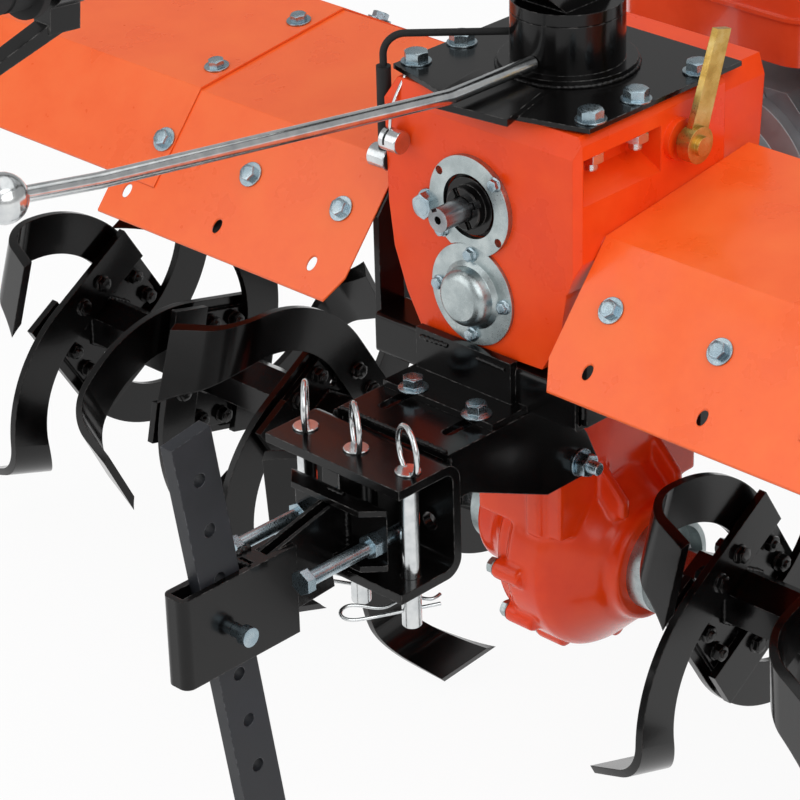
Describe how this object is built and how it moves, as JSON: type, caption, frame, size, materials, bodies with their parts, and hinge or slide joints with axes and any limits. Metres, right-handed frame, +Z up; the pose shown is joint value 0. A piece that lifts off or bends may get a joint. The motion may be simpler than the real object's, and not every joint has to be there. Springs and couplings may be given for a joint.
{
  "type": "power tiller",
  "caption": "Walk-behind power tiller with an upright gearbox, two gangs of curved tines, sheet fenders, a rear hitch with a swinging drag stake, and swivelling handlebars.",
  "frame": {"origin": "on the ground below the middle of the machine's length and width", "axes": "+X to the right seen from behind, +Y forward, +Z up"},
  "size_m": [1.3376, 1.5245, 1.0026],
  "materials": {
    "case_paint": "gloss orange-red paint on cast aluminium",
    "fender_paint": "gloss orange paint on sheet steel",
    "black_paint": "gloss black paint on steel",
    "zinc": "bright zinc plate",
    "steel": "machined steel",
    "stake_steel": "dark hot-rolled flat bar",
    "engine_cast": "die-cast aluminium",
    "tank_paint": "gloss orange-red",
    "grip_rubber": "matt black rubber",
    "muffler_steel": "heat-proof black paint",
    "cover_plastic": "satin black plastic",
    "yellow_zinc": "yellow zinc plate",
    "cable_sheath": "black sheath and boot"
  },
  "bodies": {
    "chassis": {"air_filter": "cover_plastic", "bearing_cap": "zinc", "blower_housing": "cover_plastic", "clutch_cable": "cable_sheath", "clutch_housing": "engine_cast", "crankcase": "engine_cast", "cross_bar": "black_paint", "cylinder": "engine_cast", "drive_leg": "case_paint", "engine_rail_left": "black_paint", "engine_rail_right": "black_paint", "fender_bracket_left": "black_paint", "fender_bracket_right": "black_paint", "fender_left": "fender_paint", "fender_right": "fender_paint", "fender_wing_left": "fender_paint", "fender_wing_right": "fender_paint", "front_bumper": "black_paint", "fuel_tank": "tank_paint", "gearbox_case": "case_paint", "handlebar_seat": "black_paint", "hitch_clevis": "black_paint", "hitch_pins": "zinc", "hitch_plate": "black_paint", "leg_cover": "case_paint", "muffler": "muffler_steel", "output_ring_left": "zinc", "output_ring_right": "zinc", "pto_nut": "black_paint", "pto_plate": "zinc", "selector_lever": "yellow_zinc", "shift_rod": "steel"},
    "rotor": {"tine_axle": "steel", "tine_hub_left": "black_paint", "tine_hub_right": "black_paint", "tine_set_left_1": "black_paint", "tine_set_left_2": "black_paint", "tine_set_left_3": "black_paint", "tine_set_left_4": "black_paint", "tine_set_right_1": "black_paint", "tine_set_right_2": "black_paint", "tine_set_right_3": "black_paint", "tine_set_right_4": "black_paint"},
    "pto": {"pto_shaft": "steel"},
    "hitch_arm": {"drag_arm": "black_paint", "set_bolts": "zinc", "drag_stake": "stake_steel", "stake_pin": "zinc"},
    "bar_column": {"handlebar_column": "black_paint"},
    "bars": {"handlebars": "black_paint", "grips": "grip_rubber", "grip_levers": "black_paint"},
    "stand": {"front_stand": "black_paint"}
  },
  "joints": [
    {"name": "rotor_spin", "type": "hinge", "parent": "chassis", "child": "rotor", "pos_m": [0, 0.18025, 0.185], "axis": [1, 0, 0], "continuous": true},
    {"name": "pto_spin", "type": "hinge", "parent": "chassis", "child": "pto", "pos_m": [0, 0.04425, 0.535], "axis": [0, 1, 0], "continuous": true},
    {"name": "drag_arm_swing", "type": "hinge", "parent": "chassis", "child": "hitch_arm", "pos_m": [0, -0.09275, 0.323], "axis": [0, 0, 1], "range_deg": [-8, 8]},
    {"name": "handlebar_swivel", "type": "hinge", "parent": "chassis", "child": "bar_column", "pos_m": [0.006, 0.15025, 0.67], "axis": [0, 0, 1], "range_deg": [-30, 30]},
    {"name": "handlebar_tilt", "type": "hinge", "parent": "bar_column", "child": "bars", "pos_m": [0.006, 0.03025, 0.8], "axis": [1, 0, 0], "range_deg": [-15, 20]},
    {"name": "stand_fold", "type": "hinge", "parent": "chassis", "child": "stand", "pos_m": [0, 0.63525, 0.315], "axis": [1, 0, 0], "range_deg": [0, 85]}
  ]
}
